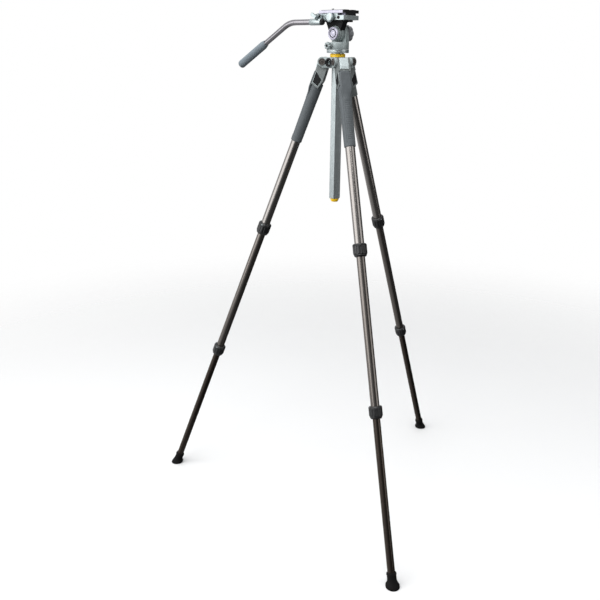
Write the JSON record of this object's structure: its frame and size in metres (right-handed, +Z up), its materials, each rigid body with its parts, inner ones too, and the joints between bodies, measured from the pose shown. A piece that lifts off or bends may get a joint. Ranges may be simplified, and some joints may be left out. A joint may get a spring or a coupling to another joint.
{
  "type": "video tripod",
  "caption": "Three-legged camera stand with twist-lock telescoping legs, a hexagonal centre column and a fluid pan and tilt head with a handle and sliding plate.",
  "frame": {"origin": "on the floor, at the middle of the box round the three feet; the column stands at x = -128.6 mm, y = 0", "axes": "+Z up along the centre column, -Y the lens direction of the head, +Y towards the pan handle, +X along the foot of the leg without a grip"},
  "size_m": [0.8088, 0.9282, 1.4275],
  "materials": {
    "grey_casting": "hammered grey paint on a die casting",
    "dark_casting": "dark grey satin",
    "silver": "satin anodised",
    "black_cradle": "black satin",
    "steel": "bright",
    "black_plastic": "moulded matt",
    "amber": "anodised, satin",
    "plate_rubber": "ribbed",
    "handle_metal": "polished dark anodising",
    "handle_foam": "matt grip",
    "grip_rubber": "matt grip",
    "bronze_tube": "polished grey-bronze anodising",
    "dark_tube": "polished dark bronze anodising",
    "lock_rubber": "matt",
    "foot_rubber": "matt"
  },
  "bodies": {
    "canopy": {"canopy": "grey_casting", "front_leg_hinge_pin": "dark_casting", "right_leg_hinge_pin": "dark_casting", "rear_leg_hinge_pin": "dark_casting"},
    "column_lock": {"column_lock_knob": "black_plastic"},
    "column": {"column": "silver", "column_ring": "amber", "column_end_cap": "amber", "pan_base": "silver"},
    "pan": {"pan_body": "grey_casting"},
    "pan_lock": {"pan_lock_knob": "grey_casting"},
    "tilt_lock": {"tilt_dial": "dark_casting"},
    "tilt": {"tilt_drum": "grey_casting", "hub_cover": "silver", "tilt_cradle": "black_cradle", "platform": "silver"},
    "plate_clamp": {"plate_clamp_knob": "silver"},
    "plate_safety": {"plate_safety_button": "black_plastic"},
    "plate": {"camera_plate": "silver", "plate_pads": "plate_rubber"},
    "camera_screw": {"camera_screw": "steel"},
    "handle": {"handle_bracket": "silver", "handle_tube": "handle_metal", "handle_grip": "handle_foam"},
    "handle_lock": {"handle_knob": "silver"},
    "front_upper_leg": {"front_leg_bracket": "grey_casting", "front_leg_inlays": "black_plastic", "front_leg_grip": "grip_rubber", "front_leg_upper_tube": "bronze_tube", "front_leg_upper_bush": "black_plastic"},
    "front_angle_latch": {"front_leg_angle_button": "silver"},
    "front_upper_twist_lock": {"front_leg_upper_lock": "lock_rubber"},
    "front_middle_leg": {"front_leg_middle_tube": "dark_tube", "front_leg_lower_bush": "black_plastic"},
    "front_lower_twist_lock": {"front_leg_lower_lock": "lock_rubber"},
    "front_lower_leg": {"front_leg_lower_tube": "dark_tube", "front_leg_foot": "foot_rubber"},
    "right_upper_leg": {"right_leg_bracket": "grey_casting", "right_leg_inlays": "black_plastic", "right_leg_upper_tube": "bronze_tube", "right_leg_upper_bush": "black_plastic"},
    "right_angle_latch": {"right_leg_angle_button": "silver"},
    "right_upper_twist_lock": {"right_leg_upper_lock": "lock_rubber"},
    "right_middle_leg": {"right_leg_middle_tube": "dark_tube", "right_leg_lower_bush": "black_plastic"},
    "right_lower_twist_lock": {"right_leg_lower_lock": "lock_rubber"},
    "right_lower_leg": {"right_leg_lower_tube": "dark_tube", "right_leg_foot": "foot_rubber"},
    "rear_upper_leg": {"rear_leg_bracket": "grey_casting", "rear_leg_inlays": "black_plastic", "rear_leg_grip": "grip_rubber", "rear_leg_upper_tube": "bronze_tube", "rear_leg_upper_bush": "black_plastic"},
    "rear_angle_latch": {"rear_leg_angle_button": "silver"},
    "rear_upper_twist_lock": {"rear_leg_upper_lock": "lock_rubber"},
    "rear_middle_leg": {"rear_leg_middle_tube": "dark_tube", "rear_leg_lower_bush": "black_plastic"},
    "rear_lower_twist_lock": {"rear_leg_lower_lock": "lock_rubber"},
    "rear_lower_leg": {"rear_leg_lower_tube": "dark_tube", "rear_leg_foot": "foot_rubber"}
  },
  "joints": [
    {"name": "column_lock_turn", "type": "hinge", "parent": "canopy", "child": "column_lock", "pos_m": [-0.10613, 0.03897, 1.28936], "axis": [0.5, 0.866, 0], "range_deg": [0, 180]},
    {"name": "column_lift", "type": "slide", "parent": "canopy", "child": "column", "axis": [0, 0, 1], "range_m": [0, 0.3]},
    {"name": "pan", "type": "hinge", "parent": "column", "child": "pan", "pos_m": [-0.12863, 0, 1.33436], "axis": [0, 0, 1], "continuous": true},
    {"name": "pan_lock_turn", "type": "hinge", "parent": "pan", "child": "pan_lock", "pos_m": [-0.16863, 0.002, 1.33186], "axis": [-1, 0, 0], "range_deg": [0, 180]},
    {"name": "tilt_lock_turn", "type": "hinge", "parent": "pan", "child": "tilt_lock", "pos_m": [-0.10163, 0, 1.36336], "axis": [1, 0, 0], "range_deg": [0, 90]},
    {"name": "tilt", "type": "hinge", "parent": "pan", "child": "tilt", "pos_m": [-0.12863, 0, 1.36336], "axis": [1, 0, 0], "range_deg": [-30, 75]},
    {"name": "plate_clamp_turn", "type": "hinge", "parent": "tilt", "child": "plate_clamp", "pos_m": [-0.16363, 0, 1.40286], "axis": [-1, 0, 0], "range_deg": [0, 180]},
    {"name": "plate_safety_press", "type": "slide", "parent": "tilt", "child": "plate_safety", "axis": [1, 0, 0], "range_m": [0, 0.0018], "stiffness_N_per_m": 300},
    {"name": "plate_slide", "type": "slide", "parent": "tilt", "child": "plate", "axis": [0, 1, 0], "range_m": [-0.02, 0.02]},
    {"name": "camera_screw_turn", "type": "hinge", "parent": "plate", "child": "camera_screw", "pos_m": [-0.12863, 0.02, 1.41236], "axis": [0, 0, 1], "continuous": true},
    {"name": "handle_angle", "type": "hinge", "parent": "tilt", "child": "handle", "pos_m": [-0.16463, 0.038, 1.40686], "axis": [1, 0, 0], "range_deg": [-10, 60]},
    {"name": "handle_lock_turn", "type": "hinge", "parent": "tilt", "child": "handle_lock", "pos_m": [-0.17363, 0.038, 1.40686], "axis": [-1, 0, 0], "range_deg": [0, 180]},
    {"name": "front_leg_spread", "type": "hinge", "parent": "canopy", "child": "front_upper_leg", "pos_m": [-0.14751, -0.03269, 1.29076], "axis": [-0.866, 0.5, 0], "range_deg": [-19.4, 59.5]},
    {"name": "front_angle_latch_press", "type": "slide", "parent": "front_upper_leg", "child": "front_angle_latch", "axis": [0.4685, 0.8115, -0.3492], "range_m": [0, 0.003], "stiffness_N_per_m": 400},
    {"name": "front_upper_lock_turn", "type": "hinge", "parent": "front_upper_leg", "child": "front_upper_twist_lock", "pos_m": [-0.23338, -0.18142, 0.8185], "axis": [-0.1746, -0.3024, -0.937], "range_deg": [0, 90]},
    {"name": "front_middle_leg_slide", "type": "slide", "parent": "front_upper_leg", "child": "front_middle_leg", "axis": [0.1746, 0.3024, 0.937], "range_m": [0, 0.388]},
    {"name": "front_lower_lock_turn", "type": "hinge", "parent": "front_middle_leg", "child": "front_lower_twist_lock", "pos_m": [-0.3075, -0.30981, 0.42073], "axis": [-0.1746, -0.3024, -0.937], "range_deg": [0, 90]},
    {"name": "front_lower_leg_slide", "type": "slide", "parent": "front_middle_leg", "child": "front_lower_leg", "axis": [0.1746, 0.3024, 0.937], "range_m": [0, 0.388]},
    {"name": "right_leg_spread", "type": "hinge", "parent": "canopy", "child": "right_upper_leg", "pos_m": [-0.09089, 0, 1.29076], "axis": [0, -1, 0], "range_deg": [-19.4, 59.5]},
    {"name": "right_angle_latch_press", "type": "slide", "parent": "right_upper_leg", "child": "right_angle_latch", "axis": [-0.937, 0, -0.3492], "range_m": [0, 0.003], "stiffness_N_per_m": 400},
    {"name": "right_upper_lock_turn", "type": "hinge", "parent": "right_upper_leg", "child": "right_upper_twist_lock", "pos_m": [0.08085, 0, 0.8185], "axis": [0.3492, 0, -0.937], "range_deg": [0, 90]},
    {"name": "right_middle_leg_slide", "type": "slide", "parent": "right_upper_leg", "child": "right_middle_leg", "axis": [-0.3492, 0, 0.937], "range_m": [0, 0.388]},
    {"name": "right_lower_lock_turn", "type": "hinge", "parent": "right_middle_leg", "child": "right_lower_twist_lock", "pos_m": [0.2291, 0, 0.42073], "axis": [0.3492, 0, -0.937], "range_deg": [0, 90]},
    {"name": "right_lower_leg_slide", "type": "slide", "parent": "right_middle_leg", "child": "right_lower_leg", "axis": [-0.3492, 0, 0.937], "range_m": [0, 0.388]},
    {"name": "rear_leg_spread", "type": "hinge", "parent": "canopy", "child": "rear_upper_leg", "pos_m": [-0.14751, 0.03269, 1.29076], "axis": [0.866, 0.5, 0], "range_deg": [-19.4, 59.5]},
    {"name": "rear_angle_latch_press", "type": "slide", "parent": "rear_upper_leg", "child": "rear_angle_latch", "axis": [0.4685, -0.8115, -0.3492], "range_m": [0, 0.003], "stiffness_N_per_m": 400},
    {"name": "rear_upper_lock_turn", "type": "hinge", "parent": "rear_upper_leg", "child": "rear_upper_twist_lock", "pos_m": [-0.23338, 0.18142, 0.8185], "axis": [-0.1746, 0.3024, -0.937], "range_deg": [0, 90]},
    {"name": "rear_middle_leg_slide", "type": "slide", "parent": "rear_upper_leg", "child": "rear_middle_leg", "axis": [0.1746, -0.3024, 0.937], "range_m": [0, 0.388]},
    {"name": "rear_lower_lock_turn", "type": "hinge", "parent": "rear_middle_leg", "child": "rear_lower_twist_lock", "pos_m": [-0.3075, 0.30981, 0.42073], "axis": [-0.1746, 0.3024, -0.937], "range_deg": [0, 90]},
    {"name": "rear_lower_leg_slide", "type": "slide", "parent": "rear_middle_leg", "child": "rear_lower_leg", "axis": [0.1746, -0.3024, 0.937], "range_m": [0, 0.388]}
  ]
}
